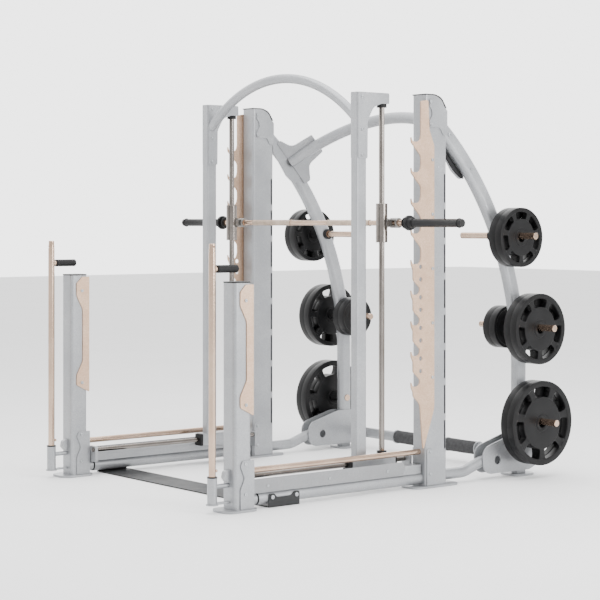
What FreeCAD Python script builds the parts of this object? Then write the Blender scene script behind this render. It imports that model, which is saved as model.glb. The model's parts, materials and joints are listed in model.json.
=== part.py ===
import FreeCAD, Part
import math
import os
from FreeCAD import Vector

# Dual-action smith machine: a wheeled-looking gantry slides front to back on two base guide rods,
# and a barbell slides up and down on the gantry's two upright rods.
# X runs across the machine, +Y to its back, +Z up. The two sides are mirror images.
# While it is modelled, Y is measured from the front posts' centre line. The finished parts are then
# moved so that the origin is the middle of the machine's footprint, on the floor.

# ---- Arrangement, in millimetres ----
SIDE_X = 734.0               # middle plane to each side frame
UPRIGHT_Y = 1241.0           # front posts' centre line to the uprights' centre line
LEG_Y = UPRIGHT_Y + 653      # front posts' centre line to the rear legs' feet
GANTRY_X = SIDE_X - 86       # middle plane to each gantry post, upright rod and guide rod
FOOT_THICKNESS = 10.0        # base plates under posts, uprights and legs

# ---- Fits and gaps ----
RUNNING = 0.05               # radial clearance of a shaft that turns or slides in its bush
SEAT = 0.2                   # radial clearance round a pin, bolt or rod that is held still
APART = 0.3                  # gap between faces of pieces that move past each other

# ---- Front posts ----
POST_SIDE = 100.0
POST_CORNER = 18.0
POST_WALL = 4.0
POST_HEIGHT = 1084.0
CAP_THICKNESS = 6.0
SIDE_PLATE = 6.0             # thickness of wear, boot and knee plates
WEAR_LOW = 452.0
WEAR_HIGH = 1070.0
BOOT_HEIGHT = 240.0

# ---- Lock poles and their sockets ----
POLE_Y = -144.0
POLE_RADIUS = 17.0
POLE_TOP = 1264.0
SOCKET_LOW = 43.0
SOCKET_HIGH = 166.0
SOCKET_RADIUS = POLE_RADIUS + 6.5
SOCKET_BORE = POLE_RADIUS + 2.5
HANDLE_Z = 1145.0
HANDLE_RADIUS = 19.5
HANDLE_LENGTH = 121.0

# ---- Base rails, their covers and the guide rods ----
RAIL_RADIUS = 30.0
RAIL_Z = 45.0
RAIL_WALL = 3.0
CHANNEL_HEIGHT = 44.0
CHANNEL_INNER = 44.0         # rail centre line to the channel's inboard face
CHANNEL_OUTER = 22.0         # rail centre line to the channel's outboard face
COVER_THICKNESS = 4.0
COVER_HEIGHT = 68.0
COVER_LENGTH = UPRIGHT_Y - 271
GUIDE_Z = 140.0
GUIDE_RADIUS = 12.5
GUIDE_BLOCK = 16.0
SIDE_ROD_Z = 182.0
SIDE_ROD_RADIUS = 15.0

# ---- Floor plate ----
FLOOR_PLATE_Y = 258.0
FLOOR_PLATE_WIDTH = 186.0
FLOOR_PLATE_THICKNESS = 6.0
FLOOR_FLANGE_HEIGHT = 65.0

# ---- Uprights and their toothed catch plates ----
UPRIGHT_WIDTH = 100.0
UPRIGHT_DEPTH = 148.0
UPRIGHT_CORNER = 12.0
UPRIGHT_WALL = 4.0
UPRIGHT_HEIGHT = 2024.0
UPRIGHT_SHOULDER = 62.0      # how far the top curves down at the back
CAP_WEDGE = 22.0             # extra thickness of the cap where it curves down
CATCH_THICKNESS = 8.0
CATCH_COUNT = 9
CATCH_LOWEST = 557.0         # height of the lowest tooth's tip
CATCH_TOP = UPRIGHT_HEIGHT - 32.4
CATCH_PITCH = (CATCH_TOP - 185 - CATCH_LOWEST) / (CATCH_COUNT - 1)
CATCH_BOLT_PITCH = 1.788 * CATCH_PITCH
CATCH_REACH = 108.0          # tooth tip in front of the upright's front face
CATCH_EDGE = 38.0            # plate's straight front edge in front of the upright's face
CATCH_LOW_EDGE = 92.0        # the same where the lower teeth are filled in between
CATCH_BACK = 54.0            # plate's rear edge behind the upright's front face
NOTCH_DEPTH = 32.0

# ---- Rear legs, arch and foot ----
LEG_WIDTH = 60.0
LEG_DEPTH = 80.0
LEG_STRAIGHT = UPRIGHT_HEIGHT - 1449    # height where the leg begins to curve forward
LEG_TOP = UPRIGHT_HEIGHT - 171          # height where it meets the upright's back
LEG_REACH = LEG_Y - UPRIGHT_Y - UPRIGHT_DEPTH / 2
LEG_BEND = (LEG_REACH ** 2 + (LEG_TOP - LEG_STRAIGHT) ** 2) / (2 * LEG_REACH)
ARCH_RADIUS = 32.5
ARCH_END_Z = UPRIGHT_HEIGHT - 309
ARCH_APEX_Z = UPRIGHT_HEIGHT - 72
ARCH_APEX_Y = LEG_Y - 237
CLAM_PLATE = 6.0
GUSSET_PLATE = 6.0
CROSS_Y = LEG_Y + 86
CROSS_Z = 92.0
CROSS_RADIUS = 30.0
GRIP_RADIUS = 38.0
GRIP_NEAR = 94.0
GRIP_FAR = 338.0
FOOT_TUBE_RADIUS = LEG_WIDTH / 2 - 1
FOOT_HOLE = 23.0
FOOT_HOLE_Y = LEG_Y - 193
FOOT_HOLE_Z = 96.0

# ---- Storage pegs and weight plates ----
PEG_RADIUS = 17.5
PEG_ROOT_RADIUS = PEG_RADIUS + 1.5       # where a peg passes through its leg and collars
PEG_HEIGHTS = (1291.0, 802.0, 300.0)
PEG_INNER = SIDE_X - 273
PEG_OUTER = SIDE_X + 284
COLLAR_RADIUS = 30.0
PLATE_BORE = 25.4
PLATE_THICKNESS = 44.0
PLATE_GAP = 1.0
OUTER_STACK = SIDE_X + 91     # inboard face of each outer pair of plates
INNER_STACK = SIDE_X - 52     # outboard face of each inner pair
PLATE_RADII = (157.0, 188.0, 225.0)
SMALL_PLATE_RADIUS = 115.0

# ---- Gantry ----
GANTRY_POST = (50.0, 65.0)
GANTRY_WALL = 3.0
GANTRY_HEIGHT = UPRIGHT_HEIGHT
ROD_RADIUS = 14.5
ROD_BEHIND_POST = 156.0
ROD_TOP = GANTRY_HEIGHT - 55  # underside of the block that holds the rod's top
GANTRY_ARCH_RADIUS = 25.0
GANTRY_ARCH_TOP = GANTRY_HEIGHT + 107    # centre line at the middle
GANTRY_ARCH_RISE = 236.0     # from the arch's ends to its middle
FOOT_WIDTH = 66.0
FOOT_LOW = 105.0
FOOT_HIGH = 175.0
FOOT_OVERHANG = 65.0         # foot past the post in front and past the rod behind
BEARING_RADIUS = GUIDE_RADIUS + 7.5
SEAL_THICKNESS = 12.0
BUMPER = 18.0
BRACKET_PLATE = 5.0
BRACKET_LOW = GANTRY_HEIGHT - 338

# ---- Barbell and its carriages ----
BAR_BEHIND_ROD = 50.0
BAR_RADIUS = 14.0
BARREL_RADIUS = BAR_RADIUS + 3
BARREL_START = GANTRY_X - 63
BAR_END = SIDE_X + 457
CARRIAGE_RADIUS = 30.0
CARRIAGE_HEIGHT = 200.0
SADDLE_RADIUS = BAR_RADIUS + 12
GROOVE_RADIUS = BAR_RADIUS + 5
SLEEVE_RADIUS = BAR_RADIUS + 7
TOOTH_GAP = 3.0              # barbell's groove in front of and above the rest tooth's tip
REST_TOOTH = 5               # the tooth, counted from 0 at the bottom, that the barbell waits at

# ---- Places that follow from these ----
UPRIGHT_FRONT = UPRIGHT_Y - UPRIGHT_DEPTH / 2
UPRIGHT_BACK = UPRIGHT_Y + UPRIGHT_DEPTH / 2
TOOTH_Y = UPRIGHT_FRONT - CATCH_REACH
BAR_Y = TOOTH_Y - TOOTH_GAP - GROOVE_RADIUS
BAR_Z = CATCH_LOWEST + REST_TOOTH * CATCH_PITCH + GROOVE_RADIUS + TOOTH_GAP
ROD_Y = BAR_Y - BAR_BEHIND_ROD
GANTRY_Y = ROD_Y - ROD_BEHIND_POST
CHANNEL_LOW = RAIL_Z + RAIL_RADIUS - 1.0
CATCH_X = SIDE_X + UPRIGHT_WIDTH / 2
LEG_INNER = SIDE_X - LEG_WIDTH / 2
LEG_OUTER = SIDE_X + LEG_WIDTH / 2


# ---- Shape helpers ----
def box(x, y, z):
    """A block between the (low, high) pairs x, y and z."""
    return Part.makeBox(x[1] - x[0], y[1] - y[0], z[1] - z[0], Vector(x[0], y[0], z[0]))


def around(centre, size):
    """A (low, high) pair of the given size around a centre."""
    return (centre - size / 2, centre + size / 2)


def rod(start, end, radius):
    """A round bar between two points."""
    axis = Vector(*end) - Vector(*start)
    return Part.makeCylinder(radius, axis.Length, Vector(*start), axis)


def ring(start, end, outer, inner):
    """A round tube between two points."""
    return rod(start, end, outer).cut(rod(start, end, inner))


def rounded_edges(corners, to_point, closed=True):
    """Edges through (u, v, radius) corners, each rounded by its radius."""
    count = len(corners)
    ends = []
    for index, (u, v, radius) in enumerate(corners):
        here = Vector(u, v, 0)
        outermost = not closed and index in (0, count - 1)
        if radius == 0 or outermost:
            ends.append((here, None, here))
            continue
        before = Vector(*corners[index - 1][:2], 0) - here
        after = Vector(*corners[(index + 1) % count][:2], 0) - here
        before.normalize()
        after.normalize()
        half = before.getAngle(after) / 2
        middle = before + after
        middle.normalize()
        reach = radius / math.tan(half)
        top = here + middle * (radius / math.sin(half) - radius)
        ends.append((here + before * reach, top, here + after * reach))
    edges = []
    for index, (start, top, end) in enumerate(ends):
        if top is not None:
            edges.append(Part.Arc(to_point(start), to_point(top), to_point(end)).toShape())
        if index == count - 1 and not closed:
            break
        following = ends[(index + 1) % count][0]
        if (following - end).Length > 1e-6:
            edges.append(Part.makeLine(to_point(end), to_point(following)))
    return edges


def plate_yz(corners, x):
    """A plate in the YZ plane, between the (low, high) pair x, with (y, z, radius) corners."""
    wire = Part.Wire(rounded_edges(corners, lambda p: Vector(x[0], p.x, p.y)))
    return Part.Face(wire).extrude(Vector(x[1] - x[0], 0, 0))


def plate_xy(x, y, z, radius):
    """A flat plate with rounded corners, between three (low, high) pairs."""
    corners = [(x[0], y[0], radius), (x[1], y[0], radius), (x[1], y[1], radius), (x[0], y[1], radius)]
    wire = Part.Wire(rounded_edges(corners, lambda p: Vector(p.x, p.y, z[0])))
    return Part.Face(wire).extrude(Vector(0, 0, z[1] - z[0]))


def square_tube(x, y, z, radius, wall):
    """An upright tube of rounded square section, between three (low, high) pairs."""
    inside = plate_xy((x[0] + wall, x[1] - wall), (y[0] + wall, y[1] - wall), z, radius - wall)
    return plate_xy(x, y, z, radius).cut(inside)


def swept_tube(path, outer, inner):
    """A round tube along a path of edges, solid when the inner radius is 0."""
    start = path[0].valueAt(path[0].FirstParameter)
    along = path[0].tangentAt(path[0].FirstParameter)
    wire = Part.Wire(path)
    tubes = []
    for radius in (outer, inner):
        if radius > 0:
            section = Part.Wire([Part.Circle(start, along, radius).toShape()])
            tubes.append(wire.makePipeShell([section], True, False))
    if len(tubes) == 2:
        return tubes[0].cut(tubes[1])
    return tubes[0]


def mirrored(shape):
    """The same shape on the machine's other side."""
    return shape.mirror(Vector(0, 0, 0), Vector(1, 0, 0))


def drilled_x(shape, places, radius):
    """The shape with holes along X at the given (y, z) places."""
    for y, z in places:
        shape = shape.cut(rod((0, y, z), (2 * SIDE_X, y, z), radius))
    return shape


def button_bolt(face, axis, shank, radius=5.0):
    """A button-head bolt whose head stands on a face point, with its shank going into the part."""
    face = Vector(*face)
    axis = Vector(*axis)
    head = Part.makeCylinder(1.7 * radius, radius, face, axis)
    head = head.makeFillet(0.45 * radius, [head.Edges[0]])
    across = axis.cross(Vector(0.36, 0.48, 0.8))
    across.normalize()
    corners = []
    for step in range(7):
        corner = FreeCAD.Rotation(axis, 60 * step).multVec(across * 0.7 * radius)
        corners.append(face + axis * radius + corner)
    hexagon = Part.makePolygon(corners)
    socket = Part.Face(hexagon).extrude(axis * (-0.6 * radius))
    body = Part.makeCylinder(radius, shank, face - axis * shank, axis)
    return head.fuse(body).cut(socket)


# ---- Front posts ----
POST_INNER = SIDE_X - POST_SIDE / 2
POST_OUTER = SIDE_X + POST_SIDE / 2
WEAR_BOLTS = ((12.0, WEAR_LOW + 50), (12.0, WEAR_HIGH - 75))
BOOT_BOLTS = ((10.0, 80.0), (10.0, BOOT_HEIGHT - 16))


def front_post():
    """A square tube on a rounded base plate, with a stub behind it for the base rail."""
    post = square_tube(around(SIDE_X, POST_SIDE), around(0, POST_SIDE),
                       (FOOT_THICKNESS, POST_HEIGHT - CAP_THICKNESS), POST_CORNER, POST_WALL)
    base = plate_xy(around(SIDE_X, 156), around(-12, 196), (0, FOOT_THICKNESS), 52)
    stub = rod((SIDE_X, POST_SIDE / 2 - 1, RAIL_Z), (SIDE_X, POST_SIDE / 2 + 54, RAIL_Z), RAIL_RADIUS - 3)
    lug = plate_yz([(-46, 140, 0), (-46, 202, 0), (-78, 190, 14), (-84, 160, 14), (-66, 140, 10)],
                   around(SIDE_X, 26))
    post = drilled_x(post, WEAR_BOLTS + BOOT_BOLTS, 5.0 + SEAT)
    return post.fuse([base, stub, lug])


def post_cap():
    """The thin black cap on a front post."""
    cap = plate_xy(around(SIDE_X, POST_SIDE + 4), around(0, POST_SIDE + 4),
                   (POST_HEIGHT - CAP_THICKNESS, POST_HEIGHT), POST_CORNER + 2)
    return cap.makeFillet(2.5, [edge for edge in cap.Edges if edge.BoundBox.ZMin > POST_HEIGHT - 0.1])


def wear_plate():
    """A wear plate with an S-shaped front edge, on a front post's outer face."""
    corners = [(58, WEAR_LOW - 2, 4), (58, WEAR_HIGH, 4), (14, WEAR_HIGH, 14), (-20, WEAR_HIGH - 34, 14),
               (-20, WEAR_HIGH - 100, 40), (18, WEAR_HIGH - 176, 50), (18, WEAR_LOW + 165, 50),
               (-20, WEAR_LOW + 92, 40), (-20, WEAR_LOW + 38, 14)]
    plate = plate_yz(corners, (POST_OUTER, POST_OUTER + SIDE_PLATE))
    return drilled_x(plate, WEAR_BOLTS, 5.0 + SEAT)


def boot_plate():
    """The plate with an S-shaped front edge that ties a front post's foot to the base rail."""
    corners = [(62, FOOT_THICKNESS + 1, 3), (62, BOOT_HEIGHT, 3), (-6, BOOT_HEIGHT, 14),
               (-19, BOOT_HEIGHT - 26, 20), (6, BOOT_HEIGHT - 84, 30), (-19, BOOT_HEIGHT - 136, 30),
               (-19, FOOT_THICKNESS + 1, 3)]
    plate = plate_yz(corners, (POST_OUTER, POST_OUTER + SIDE_PLATE))
    return drilled_x(plate, BOOT_BOLTS, 5.0 + SEAT)


def both_faces(shape):
    """A plate or bolt on the post's outer face, and the same one turned to its inner face."""
    return [shape, shape.mirror(Vector(SIDE_X, 0, 0), Vector(1, 0, 0))]


# ---- Lock poles ----
def pole_socket():
    """The socket that a pole stands in, with the two arms that join it to the front post."""
    front = -POST_SIDE / 2
    tube = rod((SIDE_X, POLE_Y, SOCKET_LOW), (SIDE_X, POLE_Y, SOCKET_HIGH), SOCKET_RADIUS)
    flange = rod((SIDE_X, POLE_Y, SOCKET_LOW - 5), (SIDE_X, POLE_Y, SOCKET_LOW), SOCKET_RADIUS + 6)
    upper_arm = rod((SIDE_X, POLE_Y, 124), (SIDE_X, front, 124), 11)
    lower_arm = box(around(SIDE_X, 26), (POLE_Y, front), (40, 49))
    hole_y = (POLE_Y + front) / 2 - 2
    lower_arm = lower_arm.cut(rod((SIDE_X, hole_y, 30), (SIDE_X, hole_y, 60), 7))
    bore = rod((SIDE_X, POLE_Y, SOCKET_LOW + 5), (SIDE_X, POLE_Y, SOCKET_HIGH + 1), SOCKET_BORE)
    return tube.fuse([flange, upper_arm, lower_arm]).cut(bore)


def pole_bushing():
    """The flanged black bush that a pole turns in."""
    sleeve = rod((SIDE_X, POLE_Y, SOCKET_LOW + 5), (SIDE_X, POLE_Y, SOCKET_HIGH), SOCKET_BORE - RUNNING)
    flange = rod((SIDE_X, POLE_Y, SOCKET_HIGH), (SIDE_X, POLE_Y, SOCKET_HIGH + 6), SOCKET_RADIUS + 1)
    bore = rod((SIDE_X, POLE_Y, SOCKET_LOW), (SIDE_X, POLE_Y, SOCKET_HIGH + 7), POLE_RADIUS + RUNNING)
    return sleeve.fuse(flange).cut(bore)


def pole():
    """A pole with a groove and a drilled stud at its top, a key pin at its foot and a handle's neck."""
    body = rod((SIDE_X, POLE_Y, SOCKET_LOW + 5 + APART), (SIDE_X, POLE_Y, POLE_TOP - 26), POLE_RADIUS)
    groove = ring((SIDE_X, POLE_Y, POLE_TOP - 38), (SIDE_X, POLE_Y, POLE_TOP - 34),
                  POLE_RADIUS + 1, POLE_RADIUS - 3)
    stud = rod((SIDE_X, POLE_Y, POLE_TOP - 27), (SIDE_X, POLE_Y, POLE_TOP), POLE_RADIUS - 2)
    stud = stud.makeChamfer(2, [edge for edge in stud.Edges if edge.BoundBox.ZMin > POLE_TOP - 0.1])
    cross_hole = rod((SIDE_X - 30, POLE_Y, POLE_TOP - 14), (SIDE_X + 30, POLE_Y, POLE_TOP - 14), 4)
    key = rod((SIDE_X, POLE_Y, SOCKET_HIGH + 32), (SIDE_X, POLE_Y + POLE_RADIUS + 10, SOCKET_HIGH + 32), 7)
    neck = rod((SIDE_X, POLE_Y, HANDLE_Z), (SIDE_X, POLE_Y + 130, HANDLE_Z), 8)
    collar = rod((SIDE_X, POLE_Y, HANDLE_Z), (SIDE_X, POLE_Y + POLE_RADIUS + 9, HANDLE_Z), 13)
    return body.cut(groove).fuse([stud, key, neck, collar]).cut(cross_hole)


def pole_handle():
    """The rubber handle on a pole's neck, with rounded ends."""
    start = POLE_Y + POLE_RADIUS + 9
    handle = rod((SIDE_X, start, HANDLE_Z), (SIDE_X, start + HANDLE_LENGTH, HANDLE_Z), HANDLE_RADIUS)
    rims = [edge for edge in handle.Edges if edge.BoundBox.YLength < 0.1]
    handle = handle.makeFillet(5, rims)
    return handle.cut(rod((SIDE_X, start - 1, HANDLE_Z), (SIDE_X, POLE_Y + 130, HANDLE_Z), 8))


# ---- Base rails ----
RAIL_FRONT = POST_SIDE / 2 + 54
CHANNEL_FRONT = POST_SIDE / 2 + SIDE_PLATE + 8
CHANNEL_BACK = UPRIGHT_FRONT - 8
COVER_SCREWS = (CHANNEL_FRONT + 102, CHANNEL_FRONT + COVER_LENGTH / 2 - 1,
                CHANNEL_FRONT + COVER_LENGTH - 106)
COVER_SCREW_Z = CHANNEL_LOW + 30


def base_rail():
    """The round rail from the front post's stub to the upright, under its ribbed guide channel."""
    tube = ring((SIDE_X, RAIL_FRONT + 8, RAIL_Z), (SIDE_X, UPRIGHT_FRONT, RAIL_Z), RAIL_RADIUS,
                RAIL_RADIUS - RAIL_WALL)
    x = (SIDE_X - CHANNEL_INNER, SIDE_X + CHANNEL_OUTER)
    z = (CHANNEL_LOW, CHANNEL_LOW + CHANNEL_HEIGHT)
    channel = box(x, (CHANNEL_FRONT, CHANNEL_BACK), z)
    length = (CHANNEL_FRONT - 1, CHANNEL_BACK + 1)
    channel = channel.cut(box((x[0] + 4, x[1] - 4), length, (z[0] + 5, z[1] - 4)))
    for height in (z[0] + 12, z[1] - 14):
        for side in x:
            channel = channel.cut(box(around(side, 3), length, (height, height + 3)))
    web = box(around(SIDE_X, 30), (RAIL_FRONT + 8, CHANNEL_BACK), (CHANNEL_LOW - 4, CHANNEL_LOW + 3))
    bore = rod((SIDE_X, 0, RAIL_Z), (SIDE_X, UPRIGHT_FRONT, RAIL_Z), RAIL_RADIUS - RAIL_WALL)
    rail = tube.fuse([channel, web.cut(bore)])
    for y in COVER_SCREWS:
        rail = rail.cut(rod((SIDE_X, y, COVER_SCREW_Z), (SIDE_X + 60, y, COVER_SCREW_Z), 4 + SEAT))
    return rail


def rail_seal():
    """The black ring between a front post's stub and the base rail."""
    return rod((SIDE_X, RAIL_FRONT, RAIL_Z), (SIDE_X, RAIL_FRONT + 8, RAIL_Z), RAIL_RADIUS - 1.5)


def rail_cover():
    """The flat cover along the outboard side of a base rail's channel."""
    x = SIDE_X + CHANNEL_OUTER
    back = CHANNEL_FRONT + COVER_LENGTH
    low = CHANNEL_LOW
    corners = [(CHANNEL_FRONT, low, 2), (back, low, 6), (back + 18, low + COVER_HEIGHT - 22, 10),
               (back + 4, low + COVER_HEIGHT - 22, 3), (back, low + COVER_HEIGHT, 4),
               (CHANNEL_FRONT, low + COVER_HEIGHT, 4)]
    cover = plate_yz(corners, (x, x + COVER_THICKNESS))
    return drilled_x(cover, [(y, COVER_SCREW_Z) for y in COVER_SCREWS], 4 + SEAT)


def guide_block():
    """The front block that holds an end of the guide rod, and the rear one."""
    x = (GANTRY_X - 18, SIDE_X - CHANNEL_INNER)
    blocks = []
    for front in (CHANNEL_FRONT + 2, CHANNEL_BACK - GUIDE_BLOCK - 2):
        block = box(x, (front, front + GUIDE_BLOCK), (CHANNEL_LOW, GUIDE_Z + 18))
        bore = rod((GANTRY_X, front - 1, GUIDE_Z), (GANTRY_X, front + GUIDE_BLOCK + 1, GUIDE_Z),
                   GUIDE_RADIUS + SEAT)
        corner = [edge for edge in block.Edges
                  if edge.BoundBox.XMax < x[0] + 0.1 and edge.BoundBox.YLength > 1]
        blocks.append(block.makeFillet(8, corner).cut(bore))
    return blocks


def guide_rod():
    """The steel rod that the gantry's foot slides on."""
    return rod((GANTRY_X, CHANNEL_FRONT - 4, GUIDE_Z), (GANTRY_X, CHANNEL_BACK + 4, GUIDE_Z), GUIDE_RADIUS)


def side_rod():
    """The tie rod from the front post's back face to the upright's front face."""
    return rod((SIDE_X, POST_SIDE / 2, SIDE_ROD_Z), (SIDE_X, UPRIGHT_FRONT, SIDE_ROD_Z), SIDE_ROD_RADIUS)


def floor_plate():
    """The flat plate across the floor, with its ends bent up outside both rails."""
    y = around(FLOOR_PLATE_Y, FLOOR_PLATE_WIDTH)
    flange_x = SIDE_X + RAIL_RADIUS + APART
    strap = box((-flange_x, flange_x), y, (0, FLOOR_PLATE_THICKNESS))
    top = FLOOR_FLANGE_HEIGHT
    corners = [(y[0], 0, 0), (y[1], 0, 0), (y[1], top, 8), (y[1] - 34, top, 10), (y[1] - 46, top - 18, 24),
               (y[0] + 46, top - 18, 24), (y[0] + 34, top, 10), (y[0], top, 8)]
    flange = plate_yz(corners, (flange_x, flange_x + FLOOR_PLATE_THICKNESS))
    flange = drilled_x(flange, FLOOR_BOLTS, 6 + SEAT)
    return strap.fuse([flange, mirrored(flange)])


FLOOR_BOLTS = ((FLOOR_PLATE_Y - FLOOR_PLATE_WIDTH / 2 + 20, FLOOR_FLANGE_HEIGHT - 16),
               (FLOOR_PLATE_Y + FLOOR_PLATE_WIDTH / 2 - 20, FLOOR_FLANGE_HEIGHT - 16))


# ---- Uprights ----
SHOULDER_Z = UPRIGHT_HEIGHT - CAP_THICKNESS - UPRIGHT_SHOULDER
CATCH_BOLT_Y = UPRIGHT_FRONT + CATCH_BACK - 14
CATCH_BOLTS = tuple((CATCH_BOLT_Y, CATCH_LOWEST + 10 + step * CATCH_BOLT_PITCH) for step in range(5))
KNEE_BOLTS = ((UPRIGHT_FRONT + 33, UPRIGHT_HEIGHT - 42), (UPRIGHT_FRONT + 33, UPRIGHT_HEIGHT - 156))
UPRIGHT_BOOT_BOLTS = ((UPRIGHT_FRONT + 30, 70.0), (UPRIGHT_FRONT + 30, 182.0))


def top_profile(height, drop=UPRIGHT_SHOULDER):
    """An upright's side outline at full depth, with its top curved down at the back."""
    return [(UPRIGHT_FRONT - 1, FOOT_THICKNESS, 0), (UPRIGHT_BACK + 1, FOOT_THICKNESS, 0),
            (UPRIGHT_BACK + 1, height - drop - 8, 0), (UPRIGHT_BACK - 34, height - 0.26 * drop, 60),
            (UPRIGHT_BACK - 80, height, 70), (UPRIGHT_FRONT - 1, height, 0)]


def upright():
    """A deep rectangular tube on a long base plate, with slots near its back edge."""
    x = around(SIDE_X, UPRIGHT_WIDTH)
    y = (UPRIGHT_FRONT, UPRIGHT_BACK)
    top = UPRIGHT_HEIGHT - CAP_THICKNESS
    tube = square_tube(x, y, (FOOT_THICKNESS, top), UPRIGHT_CORNER, UPRIGHT_WALL)
    tube = tube.common(plate_yz(top_profile(top, UPRIGHT_SHOULDER + CAP_WEDGE), (x[0] - 1, x[1] + 1)))
    slot_z = 190.0
    while slot_z + 150 < top - 300:
        slot = plate_yz([(y[1] - 19, slot_z, 6), (y[1] - 7, slot_z, 6), (y[1] - 7, slot_z + 150, 6),
                         (y[1] - 19, slot_z + 150, 6)], (x[0] - 1, x[1] + 1))
        tube = tube.cut(slot)
        slot_z += 182.0
    holes = KNEE_BOLTS + UPRIGHT_BOOT_BOLTS
    tube = drilled_x(tube, holes, 5 + SEAT)
    for y_bolt, z_bolt in CATCH_BOLTS:
        tube = tube.cut(rod((SIDE_X, y_bolt, z_bolt), (x[1] + 1, y_bolt, z_bolt), 5 + SEAT))
    base = plate_xy(around(SIDE_X, 140), around(UPRIGHT_Y, 310), (0, FOOT_THICKNESS), 40)
    return tube.fuse(base)


def upright_cap():
    """The black strip that closes an upright's curved top."""
    x = around(SIDE_X, UPRIGHT_WIDTH)
    over = plate_yz(top_profile(UPRIGHT_HEIGHT), (x[0], x[1]))
    profile = top_profile(UPRIGHT_HEIGHT - CAP_THICKNESS, UPRIGHT_SHOULDER + CAP_WEDGE)
    under = plate_yz(profile, (x[0] - 1, x[1] + 1))
    low = UPRIGHT_HEIGHT - UPRIGHT_SHOULDER - 8
    strip = over.cut(under).common(box(x, (UPRIGHT_FRONT, UPRIGHT_BACK), (low, UPRIGHT_HEIGHT + 1)))
    return strip


def catch_plate():
    """The toothed plate on an upright's outer face, where the barbell's groove hooks in."""
    front = UPRIGHT_FRONT - CATCH_EDGE
    filled = UPRIGHT_FRONT - CATCH_LOW_EDGE
    back = UPRIGHT_FRONT + CATCH_BACK
    filled_count = CATCH_COUNT // 2
    corners = [(UPRIGHT_FRONT - 24, CATCH_LOWEST - 365, 4), (front - 8, CATCH_LOWEST - 120, 60),
               (filled, CATCH_LOWEST - 82, 24)]
    for index in range(CATCH_COUNT):
        tip = CATCH_LOWEST + index * CATCH_PITCH
        if index <= filled_count:
            corners.append((filled, tip - 62, 8))
        else:
            corners.append((front, tip - 112, 16))
            corners.append((front - 6, tip - 98, 8))
        corners.append((TOOTH_Y + 3, tip - 36, 24))
        corners.append((TOOTH_Y, tip, 1.5))
        corners.append((TOOTH_Y + 11, tip - NOTCH_DEPTH, 16))
        corners.append((TOOTH_Y + 61, tip - NOTCH_DEPTH, 24))
        if index < filled_count:
            corners.append((TOOTH_Y + 61, tip + 4, 10))
            corners.append((filled, tip + 44, 16))
        else:
            corners.append((front, tip + 4, 4))
    corners.append((front, CATCH_TOP - 8, 8))
    corners.append((UPRIGHT_FRONT + 12, CATCH_TOP, 10))
    corners.append((UPRIGHT_FRONT + 20, KNEE_BOLTS[1][1] - 30, 60))
    corners.append((back, KNEE_BOLTS[1][1] - 110, 60))
    corners.append((back, CATCH_LOWEST - 150, 140))
    plate = plate_yz(corners, (CATCH_X, CATCH_X + CATCH_THICKNESS))
    plate = drilled_x(plate, CATCH_BOLTS, 5 + SEAT)
    for index in range(filled_count):
        middle = CATCH_LOWEST + (index + 0.5) * CATCH_PITCH
        plate = drilled_x(plate, ((UPRIGHT_FRONT - 40, middle - 32), (UPRIGHT_FRONT - 40, middle + 32)), 12)
    return plate


def knee_plate():
    """The plate that ties an upright's top to the rear leg, with an S-shaped front edge."""
    top = UPRIGHT_HEIGHT
    front = UPRIGHT_FRONT
    corners = [(front + 25, top - 26, 10), (front + 90, top - 26, 40), (UPRIGHT_BACK, top - 84, 4),
               (UPRIGHT_BACK, top - 190, 6), (UPRIGHT_BACK - 22, top - 222, 14),
               (UPRIGHT_BACK - 52, top - 172, 20), (front + 22, top - 172, 12),
               (front + 22, top - 142, 12), (front + 52, top - 98, 40), (front + 22, top - 60, 20)]
    plate = plate_yz(corners, (CATCH_X, CATCH_X + SIDE_PLATE))
    return drilled_x(plate, KNEE_BOLTS, 5 + SEAT)


def upright_boot():
    """The flat plate low on an upright's face, bolted near its front edge."""
    y = (UPRIGHT_FRONT + 6, UPRIGHT_FRONT + 62)
    corners = [(y[0], FOOT_THICKNESS + 1, 2), (y[1], FOOT_THICKNESS + 1, 2), (y[1], 152, 20),
               (y[1] - 12, 200, 14), (y[0], 200, 6)]
    plate = plate_yz(corners, (CATCH_X, CATCH_X + SIDE_PLATE))
    return drilled_x(plate, UPRIGHT_BOOT_BOLTS, 5 + SEAT)


# ---- Rear legs ----
def leg_y(z):
    """The leg's centre line, as Y at a height."""
    if z <= LEG_STRAIGHT:
        return LEG_Y
    return LEG_Y - LEG_BEND + math.sqrt(LEG_BEND ** 2 - (z - LEG_STRAIGHT) ** 2)


def leg_z(y):
    """The height of the leg's centre line at a Y on its curve."""
    return LEG_STRAIGHT + math.sqrt(LEG_BEND ** 2 - (y - LEG_Y + LEG_BEND) ** 2)


LEG_FOOT = 40.0
LEG_BOLTS = tuple((UPRIGHT_BACK + step, leg_z(UPRIGHT_BACK + step)) for step in (38.0, 202.0))
LEG_TURN = math.acos((UPRIGHT_BACK - 40 - (LEG_Y - LEG_BEND)) / LEG_BEND)
PEG_PLACES = tuple((leg_y(z), z) for z in PEG_HEIGHTS)


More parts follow.
